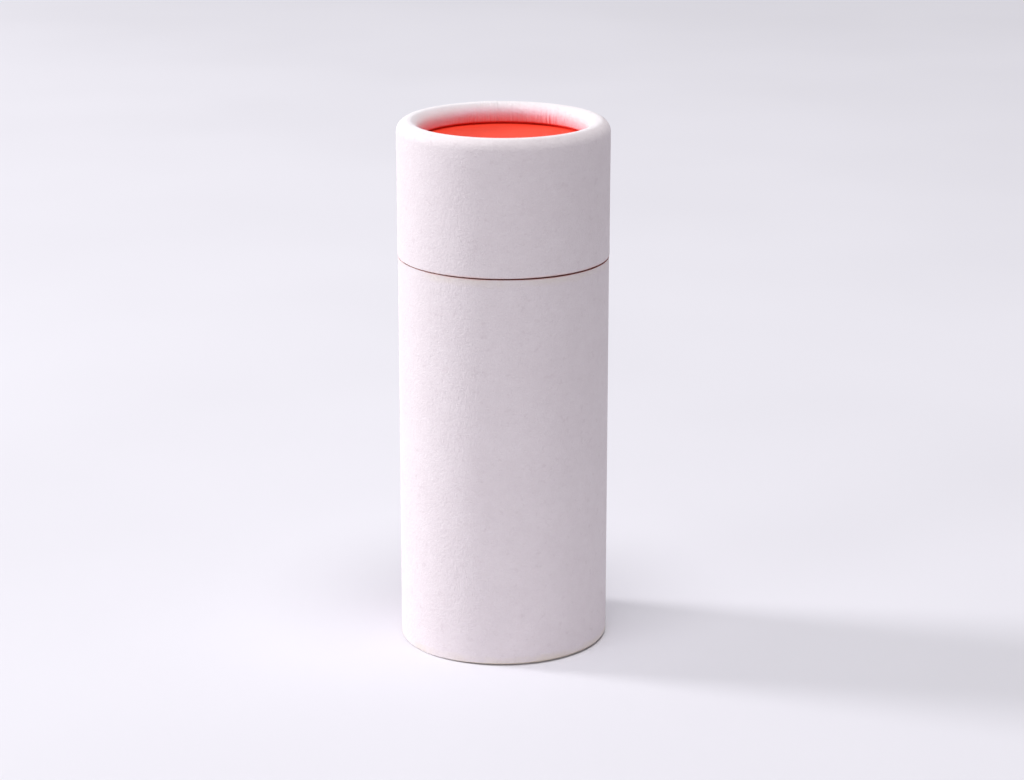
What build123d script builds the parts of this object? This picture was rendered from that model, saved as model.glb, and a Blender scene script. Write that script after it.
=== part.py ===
from build123d import *
import os

# Round paper tube box: a wrapped board tube on an inner neck, closed by a lid with a rolled edge.
# Millimetres, +Z up. The origin is on the tube's axis, at the foot that the box stands on.

# overall sizes
body_diameter = 50.0
box_height = 127.0
lid_height = 32.1

# board thicknesses
body_wall = 1.5
neck_wall = 1.2
lid_wall = 1.5
base_disc_thickness = 1.5
lid_disc_thickness = 1.5

# fits
glue_gap = 0.05  # between glued round faces
slide_clearance = 0.15  # between the neck and the lid, on the radius
seam_gap = 0.3  # left open between lid and body when the lid is down

# rolled edge of the lid, and the set-in base
roll_radius = 2.62  # outside of the roll, in section
tuck_height = 2.45  # from the roll's centre down to the disc that the roll presses on
foot_recess = 1.5  # the base disc lies this far above the foot

# radii, from the body's outside in to the neck and back out to the lid
body_radius = body_diameter / 2
body_inner_radius = body_radius - body_wall
neck_radius = body_inner_radius - glue_gap
neck_inner_radius = neck_radius - neck_wall
lid_inner_radius = neck_radius + slide_clearance
lid_radius = lid_inner_radius + lid_wall

# heights, from the crest of the lid down and from the foot up
lid_bottom = box_height - lid_height
body_top = lid_bottom - seam_gap
roll_centre_height = box_height - roll_radius
lid_disc_top = roll_centre_height - tuck_height
lid_disc_bottom = lid_disc_top - lid_disc_thickness
neck_top = lid_disc_bottom  # the lid comes to rest with its disc on the neck
base_disc_top = foot_recess + base_disc_thickness

# the roll in section: the wall turns over the crest and comes down inside, clear of itself
roll_centre_radius = lid_radius - roll_radius
roll_inner_radius = roll_centre_radius - roll_radius
roll_end_radius = roll_inner_radius + lid_wall
roll_hollow_top = box_height - lid_wall


# outer tube, cut straight at the foot and at the seam
with BuildPart() as body_tube:
    with BuildSketch():
        Circle(body_radius)
        Circle(body_inner_radius, mode=Mode.SUBTRACT)
    extrude(amount=body_top)
body_tube.part.label = "body_tube"


# inner tube that lines the body and stands up out of it for the lid to slide on
with BuildPart() as neck_tube:
    with BuildSketch(Plane.XY.offset(base_disc_top)):
        Circle(neck_radius)
        Circle(neck_inner_radius, mode=Mode.SUBTRACT)
    extrude(amount=neck_top - base_disc_top)
neck_tube.part.label = "neck_tube"


# board disc glued in above the foot, which the neck stands on
with BuildPart() as base_disc:
    with BuildSketch(Plane.XY.offset(foot_recess)):
        Circle(body_inner_radius - glue_gap)
    extrude(amount=base_disc_thickness)
base_disc.part.label = "base_disc"


# lid tube: one wall runs up, rolls inwards over the crest and ends on the disc, hollow inside the roll
with BuildPart() as lid_tube:
    with BuildSketch(Plane.XZ):
        with BuildLine():
            outside = Line((lid_radius, lid_bottom), (lid_radius, roll_centre_height))
            crest = CenterArc((roll_centre_radius, roll_centre_height), roll_radius, 0, 180)
            Polyline(
                crest @ 1,
                (roll_inner_radius, lid_disc_top),
                (roll_end_radius, lid_disc_top),
                (roll_end_radius, roll_hollow_top),
                (lid_inner_radius, roll_hollow_top),
                (lid_inner_radius, lid_bottom),
                outside @ 0,
            )
        make_face()
    revolve(axis=Axis.Z)
lid_tube.part.label = "lid_tube"


# disc that closes the lid, held up against the end of the roll
with BuildPart() as lid_disc:
    with BuildSketch(Plane.XY.offset(lid_disc_bottom)):
        Circle(lid_inner_radius - glue_gap)
    extrude(amount=lid_disc_thickness)
lid_disc.part.label = "lid_disc"


os.makedirs("parts", exist_ok=True)
for piece in (body_tube, neck_tube, base_disc, lid_tube, lid_disc):
    export_step(piece.part, f"parts/{piece.part.label}.step")
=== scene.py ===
import math
import random

import bmesh
import bpy
import numpy as np
from mathutils import Euler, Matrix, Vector


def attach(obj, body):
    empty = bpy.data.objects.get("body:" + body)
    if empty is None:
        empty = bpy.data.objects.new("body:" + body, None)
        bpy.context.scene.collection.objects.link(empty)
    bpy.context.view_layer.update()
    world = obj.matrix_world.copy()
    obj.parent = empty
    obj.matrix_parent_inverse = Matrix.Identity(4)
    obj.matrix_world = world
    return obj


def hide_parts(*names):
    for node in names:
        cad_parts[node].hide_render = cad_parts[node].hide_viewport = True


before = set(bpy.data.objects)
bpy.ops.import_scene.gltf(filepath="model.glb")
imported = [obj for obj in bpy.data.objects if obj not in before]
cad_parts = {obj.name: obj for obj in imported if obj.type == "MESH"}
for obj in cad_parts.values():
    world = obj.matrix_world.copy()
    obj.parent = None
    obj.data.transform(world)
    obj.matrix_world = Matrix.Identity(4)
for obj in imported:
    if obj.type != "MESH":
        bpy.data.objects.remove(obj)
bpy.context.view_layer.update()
mm = 0.001  # the frame is in metres, the sizes below are in millimetres


# small helpers for modelling

modelling = {
    "tiny": 0.001,  # distances below this count as none
    "corner": 0.02,  # points this close to a corner of the section belong to it
    "smoothAngle": 35,  # edges that turn more than this stay sharp, in degrees
}


def deselectEverything():
    if bpy.context.object and bpy.context.object.mode != "OBJECT":
        bpy.ops.object.mode_set(mode="OBJECT")
    bpy.ops.object.select_all(action="DESELECT")


def drawRings(name, sides, rings):
    # a ring of points is extruded from one (radius, height) of the section to the next
    deselectEverything()
    radius, height = rings[0]
    bpy.ops.mesh.primitive_circle_add(vertices=sides, radius=radius * mm, location=(0, 0, height * mm))
    piece = bpy.context.object
    piece.name = name
    bpy.ops.object.transform_apply(location=True, rotation=True, scale=True)
    bpy.ops.object.mode_set(mode="EDIT")
    bpy.ops.mesh.select_all(action="SELECT")
    for nextRadius, nextHeight in rings[1:]:
        rise = (0, 0, (nextHeight - height) * mm)
        bpy.ops.mesh.extrude_region_move(TRANSFORM_OT_translate={"value": rise})
        growth = nextRadius / radius
        bpy.ops.transform.resize(value=(growth, growth, 1), center_override=(0, 0, 0))
        radius, height = nextRadius, nextHeight
    return piece


def arcPoints(centre, radii, start, sweep, steps):
    # points (radius, height) along an arc of the section, without its first one
    turns = [start + sweep * i / steps for i in range(1, steps + 1)]
    return [(centre[0] + radii[0] * math.cos(turn), centre[1] + radii[1] * math.sin(turn)) for turn in turns]


def closeSection():
    # the last ring lies on the first one, so the doubles merge and the walls face outwards
    bpy.ops.mesh.select_all(action="SELECT")
    bpy.ops.mesh.remove_doubles(threshold=modelling["tiny"] * mm)
    bpy.ops.mesh.normals_make_consistent(inside=False)


def cornerGap(point, radius, height):
    return math.hypot(math.hypot(point.x, point.y) - radius * mm, point.z - height * mm)


def roundCorner(piece, radius, height, size, segments=3):
    # the ring of edges at one corner of the section gets a round bevel
    mesh = bmesh.from_edit_mesh(piece.data)
    bpy.ops.mesh.select_all(action="DESELECT")
    reach = modelling["corner"] * mm
    near = {v for v in mesh.verts if cornerGap(v.co, radius, height) < reach}
    for edge in mesh.edges:
        edge.select_set(edge.verts[0] in near and edge.verts[1] in near)
    bmesh.update_edit_mesh(piece.data)
    bpy.ops.mesh.bevel(offset=size * mm, segments=segments, profile=0.5, affect="EDGES")


def finishPiece():
    bpy.ops.object.mode_set(mode="OBJECT")
    bpy.ops.object.shade_smooth_by_angle(angle=math.radians(modelling["smoothAngle"]))


def pointsOf(piece):
    points = np.zeros(len(piece.data.vertices) * 3)
    piece.data.vertices.foreach_get("co", points)
    return points.reshape(-1, 3) / mm


def setPoints(piece, points):
    piece.data.vertices.foreach_set("co", (points * mm).ravel())
    piece.data.update()


def anglesOf(points):
    return np.arctan2(points[:, 1], points[:, 0])


def outwardOf(points):
    # the way out from the tube's axis at each point, and the point's distance from it
    radius = np.hypot(points[:, 0], points[:, 1])
    return np.column_stack((points[:, 0] / radius, points[:, 1] / radius, np.zeros(len(points)))), radius


def smoothStep(low, high, values):
    share = np.clip((values - low) / (high - low), 0, 1)
    return share * share * (3 - 2 * share)


def paint(piece, materials, choose):
    # gives each face the material whose place in the list choose returns
    for material in materials:
        piece.data.materials.append(material)
    for face in piece.data.polygons:
        x, y, z = (c / mm for c in face.center)
        radius = max(math.hypot(x, y), modelling["tiny"])
        outwards = (face.normal.x * x + face.normal.y * y) / radius
        face.material_index = choose(radius, z, outwards, face.normal.z)


# small helpers for node trees

def addNode(tree, kind, **values):
    node = tree.nodes.new(kind)
    for name, value in values.items():
        node.inputs[name].default_value = value
    return node


def setInput(tree, socket, value):
    # a number or a colour is written into the socket, and an output is linked to it
    if isinstance(value, (int, float)):
        socket.default_value = value
    elif isinstance(value, tuple):
        socket.default_value = (*value, 1)
    else:
        tree.links.new(value, socket)


def mathNode(tree, operation, *values):
    node = tree.nodes.new("ShaderNodeMath")
    node.operation = operation
    for socket, value in zip(node.inputs, values):
        setInput(tree, socket, value)
    return node.outputs[0]


def times(tree, first, *others):
    for value in others:
        first = mathNode(tree, "MULTIPLY", first, value)
    return first


def plus(tree, first, *others):
    for value in others:
        first = mathNode(tree, "ADD", first, value)
    return first


def minus(tree, first, second):
    return mathNode(tree, "SUBTRACT", first, second)


def rampNode(tree, value, low, high, fromValue=0.0, toValue=1.0):
    node = tree.nodes.new("ShaderNodeMapRange")
    node.interpolation_type = "SMOOTHSTEP"
    tree.links.new(value, node.inputs["Value"])
    for name, number in (("From Min", low), ("From Max", high), ("To Min", fromValue), ("To Max", toValue)):
        node.inputs[name].default_value = number
    return node.outputs["Result"]


def mixColour(tree, share, first, second):
    node = tree.nodes.new("ShaderNodeMix")
    node.data_type = "RGBA"
    for place, value in ((0, share), (6, first), (7, second)):  # the sockets for colours are 6 and 7
        setInput(tree, node.inputs[place], value)
    return node.outputs[2]


def noiseNode(tree, vector, scale, detail, roughness):
    node = addNode(tree, "ShaderNodeTexNoise", Scale=scale, Detail=detail, Roughness=roughness)
    tree.links.new(vector, node.inputs["Vector"])
    return node.outputs["Fac"]


def mixShaders(tree, share, first, second, output):
    mix = tree.nodes.new("ShaderNodeMixShader")
    for socket, value in zip(mix.inputs, (share, first, second)):
        tree.links.new(value, socket)
    tree.links.new(mix.outputs[0], output.inputs["Surface"])


def newGroup(name, inputs, outputs):
    # all inputs and outputs of these groups are plain numbers
    group = bpy.data.node_groups.new(name, "ShaderNodeTree")
    for socketName, value in inputs.items():
        socket = group.interface.new_socket(socketName, in_out="INPUT", socket_type="NodeSocketFloat")
        socket.default_value = value
    for socketName in outputs:
        group.interface.new_socket(socketName, in_out="OUTPUT", socket_type="NodeSocketFloat")
    return group, group.nodes.new("NodeGroupOutput").inputs, group.nodes.new("NodeGroupInput").outputs


def useGroup(tree, group, **values):
    node = tree.nodes.new("ShaderNodeGroup")
    node.node_tree = group
    for name, value in values.items():
        setInput(tree, node.inputs[name], value)
    return node.outputs


def newMaterial(name):
    material = bpy.data.materials.new(name)
    material.use_nodes = True
    return material, material.node_tree, material.node_tree.nodes["Principled BSDF"]


def ownPlace(tree, stretch=(1, 1, 1)):
    # the object's own coordinates, each multiplied by its number in stretch
    place = tree.nodes.new("ShaderNodeTexCoord").outputs["Object"]
    mapping = addNode(tree, "ShaderNodeMapping", Scale=stretch)
    tree.links.new(place, mapping.inputs["Vector"])
    return mapping.outputs["Vector"]


def ownAxes(tree):
    split = tree.nodes.new("ShaderNodeSeparateXYZ")
    tree.links.new(ownPlace(tree), split.inputs[0])
    return split.outputs


# effects that several papers share; a noise is its scale, its detail and its roughness, and a tone is the
# noise from and to which it runs, and the amounts that it gives there

paperGrain = {
    "fine": (2600, 4, 0.62),
    "soft": (1300, 2, 0.5),
    "broad": (90, 2, 0.5),
    "blots": (420, 4, 0.7),
    "spots": (560, 2, 0.6),
    "fineTone": (0.3, 0.7, 0, 0.4),
    "broadTone": (0.35, 0.65, 0, 0.3),
    "blotTone": (0.3, 0.7, 0, 0.5),
    "spotTone": (0.60, 0.72, 0, 0.9),
}

edgeTint = {
    "patches": (260, 3, 0.6),
    "patchStretch": (1, 1, 2.5),
    "blotches": (120, 3, 0.55),
    "blotchTone": (0.3, 0.72),
}

rollCreases = {
    "count": 520.0,
    "wander": 300,  # how soon the creases change on their way down
    "lines": (0.2, 4, 0.7),
    "lineTone": (0.38, 0.62),
}

boardPlies = {
    "count": 3300.0,  # to the metre
    "phase": 6.283,  # radians to a ply
    "wobble": (300, 2, 0.5),
    "wobbleWidth": 0.3,
    "lineTone": (-0.4, 0.9),
    "fibres": (3000, 3, 0.7),
}


def makePlaceGroup():
    # distance from the tube's axis, way to its right, and height above the floor, in metres
    group, result = newGroup("axisPlace", {}, ("Radius", "Side", "Height"))[:2]
    axes = ownAxes(group)
    squares = [times(group, axes[name], axes[name]) for name in ("X", "Y")]
    group.links.new(mathNode(group, "SQRT", plus(group, *squares)), result["Radius"])
    group.links.new(axes["X"], result["Side"])
    group.links.new(axes["Z"], result["Height"])
    return group


def makeGrainGroup():
    # fine felt grain of uncoated paper, with a softer mottle below it
    s = paperGrain
    inputs = {"Grain": 0.5, "Mottle": 0.5, "Wave": 0.0}
    group, result, given = newGroup("paperGrain", inputs, ("Height", "Tone"))
    place = ownPlace(group)
    names = ("fine", "soft", "broad", "blots", "spots")
    fine, soft, broad, blots, spots = (noiseNode(group, place, *s[name]) for name in names)
    grain = times(group, fine, given["Grain"])
    mottle = times(group, soft, given["Mottle"])
    wave = times(group, broad, given["Wave"])
    group.links.new(plus(group, grain, mottle, wave), result["Height"])
    paler = plus(group, rampNode(group, fine, *s["fineTone"]), rampNode(group, broad, *s["broadTone"]))
    marks = plus(group, rampNode(group, blots, *s["blotTone"]), rampNode(group, spots, *s["spotTone"]))
    group.links.new(plus(group, paler, marks), result["Tone"])
    return group


def makeBandGroup():
    # a mask that fades away from a height, with a ragged border
    s = edgeTint
    group, result, given = newGroup("edgeBand", {"Height": 0.0, "Reach": 0.002, "Ragged": 0.5}, ("Mask",))
    away = mathNode(group, "ABSOLUTE", minus(group, ownAxes(group)["Z"], given["Height"]))
    patches = noiseNode(group, ownPlace(group, s["patchStretch"]), *s["patches"])
    ragged = times(group, minus(group, patches, 0.5), given["Ragged"])
    share = plus(group, mathNode(group, "DIVIDE", away, given["Reach"]), ragged)
    blotches = rampNode(group, noiseNode(group, ownPlace(group), *s["blotches"]), *s["blotchTone"])
    group.links.new(times(group, rampNode(group, share, 0, 1, 1, 0), blotches), result["Mask"])
    return group


def makeCreaseGroup():
    # fine creases that run over the roll, fanned out round the tube's axis
    s = rollCreases
    group, result, given = newGroup("rollCreases", {"Count": s["count"]}, ("Height", "Tone"))
    axes = ownAxes(group)
    angle = mathNode(group, "ARCTAN2", axes["Y"], axes["X"])
    around = times(group, mathNode(group, "COSINE", angle), given["Count"])
    across = times(group, mathNode(group, "SINE", angle), given["Count"])
    join = group.nodes.new("ShaderNodeCombineXYZ")
    for socket, value in zip(join.inputs, (around, across, times(group, axes["Z"], s["wander"]))):
        group.links.new(value, socket)
    lines = noiseNode(group, join.outputs[0], *s["lines"])
    group.links.new(lines, result["Height"])
    group.links.new(rampNode(group, lines, *s["lineTone"]), result["Tone"])
    return group


def makePlyGroup():
    # the layers of wound board, seen on a cut edge
    s = boardPlies
    group, result, given = newGroup("boardPlies", {"Plies": s["count"]}, ("Lines", "Fibres"))
    place = ownPlace(group)
    wobble = times(group, noiseNode(group, place, *s["wobble"]), s["wobbleWidth"] * mm)
    radius = plus(group, useGroup(group, placeGroup)["Radius"], wobble)
    waves = mathNode(group, "SINE", times(group, radius, times(group, given["Plies"], s["phase"])))
    group.links.new(rampNode(group, waves, *s["lineTone"]), result["Lines"])
    group.links.new(noiseNode(group, place, *s["fibres"]), result["Fibres"])
    return group


placeGroup = makePlaceGroup()
grainGroup = makeGrainGroup()
bandGroup = makeBandGroup()
creaseGroup = makeCreaseGroup()
plyGroup = makePlyGroup()


# papers and boards; a relief is the strength of the bump and its height in mm

wrapPaper = {
    "white": (0.906, 0.828, 0.868),
    "shade": (0.820, 0.734, 0.774),
    "shadeShare": 0.55,
    "grain": 0.6,
    "mottle": 1.0,
    "wave": 1.2,
    "beige": (0.86, 0.76, 0.66),
    # painted reflection of the red neck on the wrap's edges at the seam
    "pinkReflection": (0.93, 0.60, 0.58),
    "ragged": 0.9,  # how unevenly the beige tint and the painted pink reflection end
    "roughness": 0.62,
    "roughnessRange": 0.1,
    "specular": 0.3,
}

# painted light on the lid's roll: a whiter crest, and a red reflection of the disc on the roll's inner side
paintedRollLight = {
    "crest": (0.970, 0.918, 0.962),  # painted light: the roll is given a whiter colour than the wrap, for the extra light that it catches
    "crestShare": 0.85,
    "crestRadii": (22.6, 23.8),  # whiter inside the first, fading up to the second
    "crestHeights": (121, 123),
    "faintRedReflection": (0.98, 0.60, 0.93),  # painted red reflection where it is faint
    "redReflection": (0.99, 0.49, 0.51),
    "radii": (21.4, 22.3),  # full inside the first, fading up to the second
    "heights": (121.9, 126.7),  # full below the first, fading up to the second
    "fall": 2.1,  # how soon the painted red reflection thins out upwards
    "deepRedReflection": (0.98, 0.27, 0.26),  # across the middle as the camera sees it, where the roll's inner side lies in shade, the painted red reflection is deeper
    "deepFrom": (-17, -8),  # from the left, where the painted reflection deepens
    "deepTo": (11, 17),  # and where it gets thinner again at the right
    "deepFall": 0.82,  # how soon it thins out upwards there
    "streaks": 0.8,  # what is left of the painted red reflection between the creases
    "creaseHeight": 2.0,  # against the grain's
    "nearDiscReflection": (0.88, 0.10, 0.07),  # painted red reflection under the roll, next to the disc
    "nearDiscReflectionHeights": (122.4, 122.9),
}


def finishShader(tree, shader, settings, colour, height, relief):
    strength, distance = relief
    tree.links.new(colour, shader.inputs["Base Color"])
    shader.inputs["Roughness"].default_value = settings["roughness"]
    shader.inputs["Specular IOR Level"].default_value = settings["specular"]
    bump = addNode(tree, "ShaderNodeBump", Strength=strength, Distance=distance * mm)
    tree.links.new(height, bump.inputs["Height"])
    tree.links.new(bump.outputs["Normal"], shader.inputs["Normal"])


def paintRollLight(tree, colour, height):
    # painted light on the roll: its crest is whitened, and its inner side gets a painted red reflection from
    # the disc that it presses on
    s = paintedRollLight
    place = useGroup(tree, placeGroup)

    def ramp(way, reach, fromValue=0.0, toValue=1.0):
        low, high = reach
        return rampNode(tree, place[way], low * mm, high * mm, fromValue, toValue)

    inside = ramp("Radius", s["radii"], 1, 0)
    down = ramp("Height", s["heights"], 1, 0)
    deep = times(tree, ramp("Side", s["deepFrom"]), ramp("Side", s["deepTo"], 1, 0))
    fall = minus(tree, s["fall"], times(tree, deep, s["fall"] - s["deepFall"]))
    amount = times(tree, inside, mathNode(tree, "POWER", down, fall))
    crest = ramp("Radius", s["crestRadii"], s["crestShare"], 0)
    # painted light: the crest and the roll's inner side are whitened
    crestLight = times(tree, crest, ramp("Height", s["crestHeights"]))
    creases = useGroup(tree, creaseGroup, Count=rollCreases["count"])
    streaked = times(tree, amount, rampNode(tree, creases["Tone"], 0, 1, 1, s["streaks"]))
    redReflection = mixColour(tree, amount, s["faintRedReflection"], mixColour(tree, deep, s["redReflection"], s["deepRedReflection"]))
    under = times(tree, inside, ramp("Height", s["nearDiscReflectionHeights"], 1, 0))
    colour = mixColour(tree, crestLight, colour, s["crest"])
    colour = mixColour(tree, streaked, colour, redReflection)
    colour = mixColour(tree, under, colour, s["nearDiscReflection"])
    return colour, plus(tree, height, times(tree, creases["Height"], inside, s["creaseHeight"]))


def makeWrapMaterial(name, edgeTints, relief, paintsRollLight):
    # white uncoated paper; an edge tint, a real tint or a painted reflection, is a height, its reach both
    # ways, its amount and its colour
    s = wrapPaper
    material, tree, shader = newMaterial(name)
    grain = useGroup(tree, grainGroup, Grain=s["grain"], Mottle=s["mottle"], Wave=s["wave"])
    colour = mixColour(tree, times(tree, grain["Tone"], s["shadeShare"]), s["white"], s["shade"])
    for edge, reach, amount, tint in edgeTints:
        mask = useGroup(tree, bandGroup, Height=edge * mm, Reach=reach * mm, Ragged=s["ragged"])["Mask"]
        colour = mixColour(tree, times(tree, mask, amount), colour, s[tint])
    height = grain["Height"]
    if paintsRollLight:
        colour, height = paintRollLight(tree, colour, height)
    finishShader(tree, shader, s, colour, height, relief)
    rough = rampNode(tree, grain["Tone"], 0, 1, s["roughness"], s["roughness"] + s["roughnessRange"])
    tree.links.new(rough, shader.inputs["Roughness"])
    return material


cutBoard = {
    "cream": (0.88, 0.80, 0.72),
    "grey": (0.68, 0.60, 0.52),
    "fibreTone": (0.35, 0.75, 0, 0.35),
    # painted shade and red reflection in the seam's gap
    "red": (0.55, 0.09, 0.07),
    "redFibres": (0.3, 0.7),
    "redLoss": 0.85,  # what is left of the red between the fibres
    "roughness": 0.9,
    "specular": 0.2,
    "relief": (0.6, 0.08),
}


def makeCutMaterial(name, paintedSeamShare):
    # cut edge of the wound board, with its plies; at the seam it gets a painted dark red, for shade and the
    # red neck's reflection in the gap
    s = cutBoard
    material, tree, shader = newMaterial(name)
    plies = useGroup(tree, plyGroup, Plies=boardPlies["count"])
    colour = mixColour(tree, plies["Lines"], s["cream"], s["grey"])
    colour = mixColour(tree, rampNode(tree, plies["Fibres"], *s["fibreTone"]), colour, s["cream"])
    red = rampNode(tree, plies["Fibres"], *s["redFibres"], paintedSeamShare, paintedSeamShare * s["redLoss"])
    colour = mixColour(tree, red, colour, s["red"])
    finishShader(tree, shader, s, colour, plus(tree, plies["Lines"], plies["Fibres"]), s["relief"])
    return material


innerBoard = {
    "light": (0.66, 0.60, 0.53),
    "dark": (0.55, 0.49, 0.42),
    "grain": 0.9,
    "mottle": 0.6,
    "flecks": (1500, 3, 0.7),
    "fleckStretch": (1, 1, 0.35),
    "fleckTone": (0.62, 0.72, 0, 0.5),
    "roughness": 0.85,
    "specular": 0.25,
    "relief": (0.5, 0.08),
}


def makeInnerMaterial():
    # plain board inside the lid and at the base
    s = innerBoard
    material, tree, shader = newMaterial("innerBoard")
    grain = useGroup(tree, grainGroup, Grain=s["grain"], Mottle=s["mottle"])
    flecks = noiseNode(tree, ownPlace(tree, s["fleckStretch"]), *s["flecks"])
    colour = mixColour(tree, grain["Tone"], s["light"], s["dark"])
    colour = mixColour(tree, rampNode(tree, flecks, *s["fleckTone"]), colour, cutBoard["grey"])
    finishShader(tree, shader, s, colour, grain["Height"], s["relief"])
    return material


redPaper = {
    "bright": (0.985, 0.074, 0.034),
    "deep": (0.93, 0.056, 0.025),
    "grain": 0.6,
    "mottle": 0.6,
    "grainShare": 0.45,
    "streaks": (420, 4, 0.65),
    "streakTone": (0.35, 0.7, 0, 0.55),
    "roughness": 0.6,
    "specular": 0.28,
    "relief": (0.4, 0.05),
}


def makeRedMaterial(name, stretch):
    # dyed red paper; its faint streaks run along the axis with the smallest number in stretch
    s = redPaper
    material, tree, shader = newMaterial(name)
    grain = useGroup(tree, grainGroup, Grain=s["grain"], Mottle=s["mottle"])
    streaks = noiseNode(tree, ownPlace(tree, stretch), *s["streaks"])
    marks = rampNode(tree, streaks, *s["streakTone"])
    share = plus(tree, times(tree, grain["Tone"], s["grainShare"]), marks)
    colour = mixColour(tree, share, s["bright"], s["deep"])
    finishShader(tree, shader, s, colour, plus(tree, grain["Height"], streaks), s["relief"])
    return material


# pieces

bodyTube = {
    "radius": 25.0,
    "innerRadius": 23.5,
    "height": 94.6,
    "sides": 1024,
    "rows": 16,
    "foot": ((24.0, 0.0), (24.08, 0.23), (24.62, 0.29), (25.0, 0.70)),  # undercut and slanted cut edge
    "footRound": 0.12,
    "footHeights": (0.3, 2.0),  # the foot's unevenness fades out between them
    "footDip": 0.9,  # the undercut is shallower on the left
    "footDipAngle": 188,
    "footDipFade": (0.2, 0.85),  # cosines of the way round from that angle
    "footRise": 0.4,  # and higher on the near right
    "footRiseAngle": -25,
    "footRiseFade": (0.4, 1.0),
    "innerRound": 0.1,
    "seamRound": 0.18,
    "seamDrop": 0.04,
    "seamTilt": 0.12,  # the top isn't cut quite level, lowest at the front right
    "seamTiltAngle": 155,
    "seamHeights": (90, 94),
    "cutSlope": 0.8,  # faces that point upwards more than this are cut board
    "lapAngle": 128,  # the wrap's glued lap, on the side away from the camera
    "lapWidth": 8.0,
    "lapThickness": 0.09,
    "lapHeights": (0.3, 0.9),
    # the pink band at the seam is a painted reflection of the red neck
    "edgeTints": ((0.8, 1.8, 0.7, "beige"), (94.2, 2.2, 0.45, "beige"), (94.6, 0.5, 0.6, "pinkReflection")),
    "relief": (1.0, 0.12),
}

wrapLap = {
    "step": 0.1,  # the width of the step at the wrap's end
    "bridge": 1.5,  # the width over which the wrap comes down past its hidden edge
}


def raiseLap(points, surface, direction, settings):
    # the wrap's end lies over its beginning: a sharp step, and a soft one where the hidden edge is bridged
    s = settings
    arc = np.mod(anglesOf(points) - math.radians(s["lapAngle"]), 2 * math.pi) * s["radius"]
    around = 2 * math.pi * s["radius"]
    arc = np.where(arc > around / 2, arc - around, arc)
    lapEnd = s["lapWidth"] + wrapLap["bridge"]
    rise = np.clip(arc / wrapLap["step"], 0, 1) * (1 - smoothStep(s["lapWidth"], lapEnd, arc))
    amount = s["lapThickness"] * rise * surface
    return points + direction * amount[:, None]


def makeBodyTube(wrap, cut, inner, seam):
    s = bodyTube
    rows = [(s["radius"], s["height"] * i / s["rows"]) for i in range(1, s["rows"] + 1)]
    start = (s["innerRadius"], 0)
    piece = drawRings("bodyTubeWrapped", s["sides"],
                      [start, *s["foot"], *rows, (s["innerRadius"], s["height"]), start])
    closeSection()
    roundCorner(piece, *s["foot"][-1], s["footRound"], 2)
    roundCorner(piece, *s["foot"][-2], s["footRound"], 2)
    roundCorner(piece, s["radius"], s["height"], s["seamRound"])
    roundCorner(piece, s["innerRadius"], s["height"], s["innerRound"], 2)
    roundCorner(piece, *start, s["innerRound"], 2)
    finishPiece()

    points = pointsOf(piece)
    outward, radius = outwardOf(points)
    middle = (s["radius"] + s["innerRadius"]) / 2
    surface = (radius > middle) * smoothStep(*s["lapHeights"], points[:, 2])
    points = raiseLap(points, surface, outward, s)
    angle = anglesOf(points)
    tilt = s["seamTilt"] * np.cos(angle - math.radians(s["seamTiltAngle"])) - s["seamDrop"]
    points[:, 2] += tilt * smoothStep(*s["seamHeights"], points[:, 2])
    dip = smoothStep(*s["footDipFade"], np.cos(angle - math.radians(s["footDipAngle"])))
    rise = smoothStep(*s["footRiseFade"], np.cos(angle - math.radians(s["footRiseAngle"])))
    uneven = s["footRise"] * rise - s["footDip"] * dip
    points[:, 2] *= 1 + uneven * (1 - smoothStep(*s["footHeights"], points[:, 2]))
    setPoints(piece, points)

    def choose(r, z, outwards, upwards):
        if z < s["foot"][-1][1] + modelling["corner"]:
            return 1
        if upwards > s["cutSlope"]:
            return 3
        return 0 if r > middle else 2
    paint(piece, [wrap, cut, inner, seam], choose)
    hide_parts("body_tube")
    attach(piece, "box")


neckTube = {
    "radius": 23.45,
    "innerRadius": 22.25,
    "bottom": 3.0,
    "top": 120.43,
    "sides": 512,
    "outerRound": 0.35,
    "innerRound": 0.175,
    "cutSlope": 0.8,
}


def makeNeckTube(red, cut):
    s = neckTube
    start = (s["innerRadius"], s["bottom"])
    piece = drawRings("neckTubeRed", s["sides"], [start, (s["radius"], s["bottom"]), (s["radius"], s["top"]),
                                                  (s["innerRadius"], s["top"]), start])
    closeSection()
    roundCorner(piece, s["radius"], s["top"], s["outerRound"])
    roundCorner(piece, s["innerRadius"], s["top"], s["innerRound"], 2)
    finishPiece()
    paint(piece, [red, cut], lambda r, z, outwards, upwards: 1 if abs(upwards) > s["cutSlope"] else 0)
    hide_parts("neck_tube")
    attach(piece, "box")


discs = {
    "ringShares": (0.02, 0.2, 0.4, 0.6, 0.8, 0.95),  # of the radius, from the middle to the rim
    "poleShare": 0.03,  # the ring inside this closes at the pole
    "faceSlope": 0.5,  # faces that point up or down more than this aren't the rim
}
baseDisc = {"radius": 23.45, "bottom": 1.5, "top": 3.0, "rimRound": 0.1, "sides": 256}
lidDisc = {"radius": 23.55, "bottom": 120.43, "top": 121.93, "rimRound": 0.1, "sides": 256}


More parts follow.
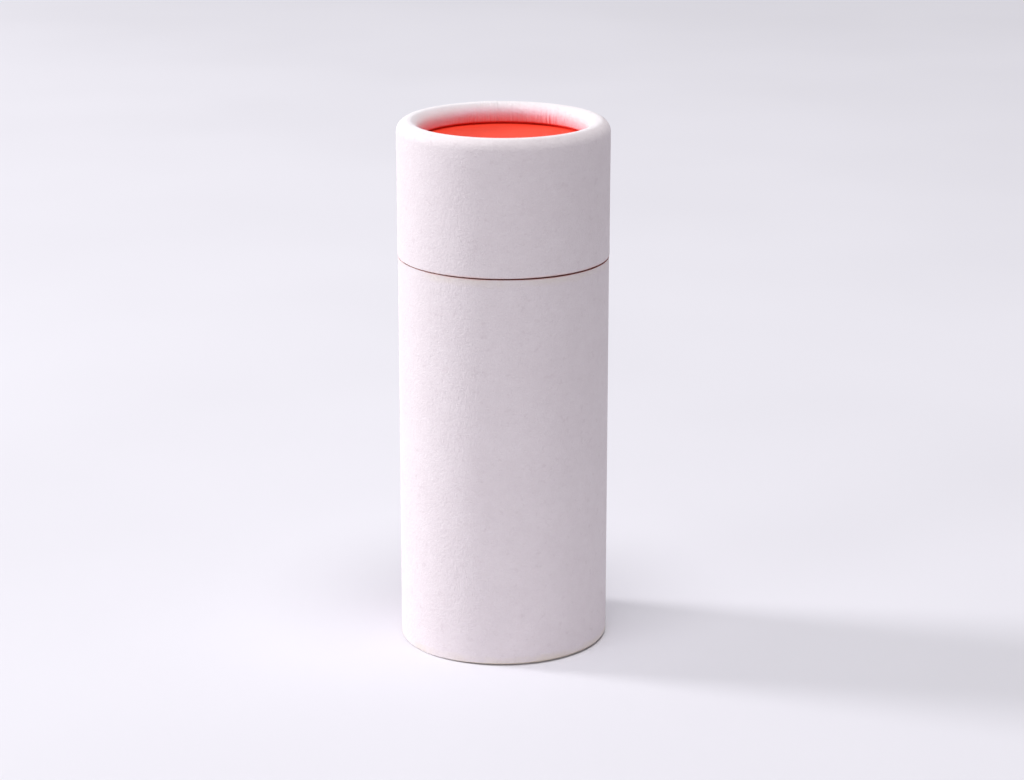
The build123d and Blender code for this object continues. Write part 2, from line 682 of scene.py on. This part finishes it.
def makeDisc(name, settings, materials, choose, node, body):
    # a round board: rings from the middle of one face over the rounded rim to the middle of the other
    s = settings
    radius, low, high = s["radius"], s["bottom"], s["top"]
    under = [(radius * share, low) for share in discs["ringShares"]]
    over = [(radius * share, high) for share in reversed(discs["ringShares"])]
    piece = drawRings(name, s["sides"], [*under, (radius, low), (radius, high), *over])
    bpy.ops.mesh.merge(type="CENTER")  # the last ring closes at the pole
    mesh = bmesh.from_edit_mesh(piece.data)
    for v in mesh.verts:
        inPole = math.hypot(v.co.x, v.co.y) < radius * discs["poleShare"] * mm
        v.select_set(inPole and v.co.z < (low + modelling["corner"]) * mm)
    mesh.select_flush(True)
    bmesh.update_edit_mesh(piece.data)
    bpy.ops.mesh.merge(type="CENTER")  # and so does the first
    bpy.ops.mesh.select_all(action="SELECT")
    bpy.ops.mesh.normals_make_consistent(inside=False)
    roundCorner(piece, radius, high, s["rimRound"], 2)
    roundCorner(piece, radius, low, s["rimRound"], 2)
    finishPiece()
    paint(piece, materials, choose)
    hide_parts(node)
    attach(piece, body)


lidTube = {
    "radius": 25.1,
    "innerRadius": 23.6,
    "bottom": 94.9,
    "top": 127.0,
    "wall": 1.5,
    "sides": 1280,
    "rows": 8,
    "rollRadius": 2.62,
    "rollSteps": 26,
    "tuckHeight": 2.45,  # from the roll's centre down to the disc
    "tuckRadius": 6.9,  # the roll's inner side turns gently outwards
    "tuckSteps": 6,
    "tuckRound": 0.3,  # where the roll turns under
    "tuckRoundSteps": 4,
    "tuckLift": 0.48,  # dark line left open above the disc
    "tuckPly": 0.9,  # behind this width the sheet's inner plies rest on the disc
    "tuckShare": 0.7,  # of the wall: what lies further back isn't the roll's inner side
    "hollowSteps": 8,
    "seamRound": 0.2,
    "swell": 0.05,  # the wall stands out a little just below the roll
    "swellFrom": (-9, -3),  # heights from the roll's centre between which that sets in
    "swellTo": (-2, 1.5),  # and between which it ends
    "cutSlope": 0.6,  # faces that point downwards more than this are cut board
    "backReach": 0.3,  # how far past the inner radius the inside of the wall is bare board
    "backSlope": 0.5,
    "lapAngle": 94,
    "lapWidth": 7.0,
    "lapThickness": 0.06,
    "lapStart": 0.225,  # above the lower edge
    # a painted pink reflection of the red neck along the seam
    "edgeTints": ((94.9, 0.5, 0.55, "pinkReflection"),),
    "relief": (1.0, 0.105),
}

pleats = {
    "seed": 7,
    "count": 280,
    "shift": (0.1, 0.9),  # of the way to the next pleat
    "height": 0.034,
    "heightShares": (-0.6, 1.0),
    "halfWidth": (0.09, 0.2),
    "start": (0.1, 0.55),  # shares of the way from the crest to the disc
    "fade": 0.35,
    "lean": 0.4,
    # angle, spread in degrees and extra height of each group
    "groups": ((55, 13, 1.7), (112, 10, 0.8), (165, 14, 1.0),
               (-20, 16, 0.9), (-80, 12, 1.1), (-140, 18, 0.9)),
    # angle and depth of each single fold
    "folds": ((84, 0.10), (94, 0.14), (113, 0.10), (58.5, 0.11), (55.5, 0.06), (-52, 0.10), (-118, 0.10)),
    "foldHalfWidth": 0.16,
    "foldShares": (0.35, 0.75),
}


def rollSection(s):
    # the outside of the roll, from the wall over the crest down to the disc, and the sheet's inside back up
    roll = s["rollRadius"]
    centre = (s["radius"] - roll, s["top"] - roll)
    section = [(s["radius"], centre[1]), *arcPoints(centre, (roll, roll), 0, math.pi, s["rollSteps"])]
    tuck, under = s["tuckRadius"], s["tuckRound"]
    tuckTurn = math.asin((s["tuckHeight"] - s["tuckLift"] - under) / tuck)
    tuckCentre = (centre[0] - roll + tuck, centre[1])
    section += arcPoints(tuckCentre, (tuck, tuck), math.pi, tuckTurn, s["tuckSteps"])
    endR, endZ = section[-1]
    section += arcPoints((endR + under, endZ), (under, under), math.pi, math.pi / 2, s["tuckRoundSteps"])
    backR = endR + s["wall"]
    discZ = centre[1] - s["tuckHeight"]
    section += [(endR + s["tuckPly"], discZ), (backR, discZ), (backR, centre[1])]
    hollow = (s["innerRadius"] - backR) / 2
    hollowCentre = (backR + hollow, centre[1])
    section += arcPoints(hollowCentre, (hollow, roll - s["wall"]), math.pi, -math.pi, s["hollowSteps"])
    return section


def pleatHeights(angle, share):
    # share runs from 0 on the crest to 1 at the disc; the heights are in mm along the surface's normal
    s = pleats
    dice = random.Random(s["seed"])
    radius = lidTube["radius"] - 2 * lidTube["rollRadius"]

    def arcFrom(middle):
        return (np.mod(angle - middle + math.pi, 2 * math.pi) - math.pi) * radius

    total = np.zeros(len(angle))
    for i in range(s["count"]):
        middle = math.radians(360 * (i + dice.uniform(*s["shift"])) / s["count"])
        width = dice.uniform(*s["halfWidth"])
        height = s["height"] * dice.uniform(*s["heightShares"])
        start = dice.uniform(*s["start"])
        lean = dice.uniform(-1, 1) * s["lean"]
        for centre, spread, gain in s["groups"]:
            gap = (math.degrees(middle) - centre + 180) % 360 - 180
            height *= 1 + gain * math.exp(-(gap / spread) ** 2)
        across = arcFrom(middle) - lean * (share - 0.5)
        total += height * smoothStep(start, start + s["fade"], share) * np.exp(-(across / width) ** 2)
    for centre, depth in s["folds"]:
        across = arcFrom(math.radians(centre))
        total -= depth * smoothStep(*s["foldShares"], share) * np.exp(-(across / s["foldHalfWidth"]) ** 2)
    return total


def makeLidTube(wrap, cut, inner):
    s = lidTube
    centreR, centreZ = s["radius"] - s["rollRadius"], s["top"] - s["rollRadius"]
    start = (s["innerRadius"], s["bottom"])
    rows = [(s["radius"], s["bottom"] + (centreZ - s["bottom"]) * i / s["rows"]) for i in range(s["rows"])]
    piece = drawRings("lidTubeRolled", s["sides"], [start, *rows, *rollSection(s), start])
    closeSection()
    roundCorner(piece, s["radius"], s["bottom"], s["seamRound"])
    roundCorner(piece, *start, s["seamRound"] / 2, 2)
    finishPiece()

    points = pointsOf(piece)
    outward, radius = outwardOf(points)
    high = points[:, 2] - centreZ
    fromCentre = np.hypot(radius - centreR, high)
    onRoll = (high >= -modelling["tiny"]) & (fromCentre > s["rollRadius"] - s["wall"] / 2)
    onTuck = (high < 0) & (radius < centreR - s["rollRadius"] + s["wall"] * s["tuckShare"])
    onWall = (high < 0) & (radius > s["radius"] - s["wall"] / 2)
    turn = np.arctan2(np.clip(high, 0, None), radius - centreR)
    normal = outward * np.cos(turn)[:, None] + np.column_stack((0 * turn, 0 * turn, np.sin(turn)))
    normal[onTuck] = -outward[onTuck]
    normal[onWall] = outward[onWall]
    swell = s["swell"] * smoothStep(*s["swellFrom"], high) * (1 - smoothStep(*s["swellTo"], high)) * onWall
    points = points + outward * swell[:, None]
    surface = onRoll | onTuck | (onWall & (points[:, 2] - s["bottom"] > s["lapStart"]))
    points = raiseLap(points, surface, normal, s)

    quarter = s["rollRadius"] * math.pi / 2
    along = np.where(onRoll, s["rollRadius"] * np.clip(turn - math.pi / 2, 0, None), quarter - high)
    share = along / (quarter + s["tuckHeight"])
    pleated = onRoll | onTuck
    lift = np.zeros(len(points))
    lift[pleated] = pleatHeights(anglesOf(points)[pleated], share[pleated])
    points = points + normal * lift[:, None]
    setPoints(piece, points)

    def choose(r, z, outwards, upwards):
        if z < s["bottom"] + s["seamRound"] / 2 and upwards < -s["cutSlope"]:
            return 1
        behind = r < s["innerRadius"] + s["backReach"] and outwards < s["backSlope"]
        return 2 if behind and z < centreZ - s["tuckHeight"] else 0
    paint(piece, [wrap, cut, inner], choose)
    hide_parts("lid_tube")
    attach(piece, "lid")


bodyWrap = makeWrapMaterial("bodyWrapPaper", bodyTube["edgeTints"], bodyTube["relief"], False)
lidWrap = makeWrapMaterial("lidWrapPaper", lidTube["edgeTints"], lidTube["relief"], True)
cutMaterial = makeCutMaterial("cutBoard", 0.0)
# the seam's cut faces get painted dark red shade and reflection
seamMaterial = makeCutMaterial("seamEdge", 0.7)
innerMaterial = makeInnerMaterial()
redLining = makeRedMaterial("redLiningPaper", (1, 1, 0.3))
redTop = makeRedMaterial("redDiscPaper", (0.3, 1, 1))
print("materials done")


def chooseBaseFace(r, z, outwards, upwards):
    return 0 if abs(upwards) > discs["faceSlope"] else 1


def chooseTopFace(r, z, outwards, upwards):
    return 0 if upwards > discs["faceSlope"] else 1


makeBodyTube(bodyWrap, cutMaterial, innerMaterial, seamMaterial)
makeNeckTube(redLining, cutMaterial)
makeDisc("baseDiscBoard", baseDisc, [innerMaterial, cutMaterial], chooseBaseFace,
         "base_disc", "box")
makeDisc("lidDiscRed", lidDisc, [redTop, innerMaterial], chooseTopFace,
         "lid_disc", "lid")
print("box pieces done")
makeLidTube(lidWrap, seamMaterial, innerMaterial)
print("lid done")


# floor, light and camera; lengths here are in metres

stage = {
    "floorSize": 8.0,
    "floorDrop": 0.00001,  # just below the foot
    "floor": (0.820, 0.802, 0.867),
    "clouds": (6, 2, 0.5),
    "cloudTone": (0.3, 0.7),
    "cloudShare": 0.97,  # of the floor's colour, in the clouds
    "farFloor": (0.26, 0.25, 0.28),  # what the floor further off sends back to the box
    "farFrom": (0.2, 0.7),
    "backdrop": (0.84, 0.82, 0.88),
    "fadeCentre": (0.0, 0.4, 0.0),
    "fadeStretch": (2.2, 1.0, 1.0),  # sooner to the sides, where the key lamp stands over the floor
    "fade": (0.8, 1.8),
    "sky": (1.0, 1.0, 1.0),
    "skyLight": 0.228,
}


def seenDirectly(tree):
    # 1 for the camera, and for what shows in gloss or through glass
    rays = tree.nodes.new("ShaderNodeLightPath").outputs
    direct = mathNode(tree, "MAXIMUM", rays["Is Camera Ray"], rays["Is Transmission Ray"])
    return mathNode(tree, "MAXIMUM", direct, rays["Is Glossy Ray"])


def makeFloor():
    s = stage
    deselectEverything()
    bpy.ops.mesh.primitive_plane_add(size=s["floorSize"], location=(0, 0, -s["floorDrop"]))
    floor = bpy.context.object
    floor.name = "paleFloor"
    material, tree, shader = newMaterial("paleFloorPaint")
    clouds = rampNode(tree, noiseNode(tree, ownPlace(tree), *s["clouds"]), *s["cloudTone"])
    pale = mixColour(tree, clouds, s["floor"], tuple(c * s["cloudShare"] for c in s["floor"]))
    # the further floor sends less light back, so the box is a little darker towards its top
    away = rampNode(tree, useGroup(tree, placeGroup)["Radius"], *s["farFrom"])
    dim = times(tree, away, tree.nodes.new("ShaderNodeLightPath").outputs["Is Diffuse Ray"])
    tree.links.new(mixColour(tree, dim, pale, s["farFloor"]), shader.inputs["Base Color"])
    shader.inputs["Roughness"].default_value = 1.0
    shader.inputs["Specular IOR Level"].default_value = 0.0
    # far from the box, the floor runs into the backdrop for the camera, so low views show no edge
    place = tree.nodes.new("ShaderNodeVectorMath")
    place.operation = "DISTANCE"
    place.inputs[1].default_value = s["fadeCentre"]
    tree.links.new(ownPlace(tree, s["fadeStretch"]), place.inputs[0])
    faded = times(tree, rampNode(tree, place.outputs["Value"], *s["fade"]), seenDirectly(tree))
    glow = addNode(tree, "ShaderNodeEmission", Color=(*s["backdrop"], 1), Strength=1.0)
    mixShaders(tree, faded, shader.outputs[0], glow.outputs[0], tree.nodes["Material Output"])
    floor.data.materials.append(material)


def makeSky():
    s = stage
    world = bpy.data.worlds.new("paleRoom")
    world.use_nodes = True
    bpy.context.scene.world = world
    tree = world.node_tree
    tree.nodes.clear()
    seen = addNode(tree, "ShaderNodeBackground", Color=(*s["backdrop"], 1), Strength=1.0)
    light = addNode(tree, "ShaderNodeBackground", Color=(*s["sky"], 1), Strength=s["skyLight"])
    output = tree.nodes.new("ShaderNodeOutputWorld")
    mixShaders(tree, seenDirectly(tree), light.outputs[0], seen.outputs[0], output)


# angles go round from the camera's left towards the back, and rises go up from the floor, both in degrees
lamps = {
    "keyLamp": {"distance": 1.9, "angle": 13.5, "rise": 19.5, "size": 0.45, "power": 24.4},
    "fillLamp": {"distance": 2.0, "angle": -38, "rise": 14.0, "size": 0.8, "power": 5.3},
    "topLamp": {"distance": 4.0, "angle": -100, "rise": 79, "size": 2.4, "power": 102.5},
}
lampAim = (0, 0, 0.06)


def makeLamps():
    for name, s in lamps.items():
        angle, rise = math.radians(s["angle"]), math.radians(s["rise"])
        way = Vector((-math.cos(angle) * math.cos(rise), math.sin(angle) * math.cos(rise), math.sin(rise)))
        data = bpy.data.lights.new(name, "AREA")
        data.shape = "DISK"
        data.size = s["size"]
        data.energy = s["power"]
        lamp = bpy.data.objects.new(name, data)
        lamp.location = Vector(lampAim) + way * s["distance"]
        lamp.rotation_euler = way.to_track_quat("Z", "Y").to_euler()
        lamp.visible_camera = False
        bpy.context.scene.collection.objects.link(lamp)


viewCamera = {
    "lens": 100,
    "sensor": 36,
    "clip": (0.01, 20),
    "distance": 0.655,
    "height": 0.2548,
    "down": 16.48,
    "turn": 0.177,  # the object stands a little left of the frame's middle
}


def makeCamera():
    s = viewCamera
    data = bpy.data.cameras.new("viewCamera")
    data.lens = s["lens"]
    data.sensor_width = s["sensor"]
    data.clip_start, data.clip_end = s["clip"]
    camera = bpy.data.objects.new("viewCamera", data)
    camera.location = (0, -s["distance"], s["height"])
    camera.rotation_euler = Euler((math.radians(90 - s["down"]), 0, math.radians(-s["turn"])))
    bpy.context.scene.collection.objects.link(camera)
    bpy.context.scene.camera = camera


makeFloor()
makeSky()
makeLamps()
makeCamera()
bpy.context.scene.view_settings.view_transform = "Standard"
print("stage done")
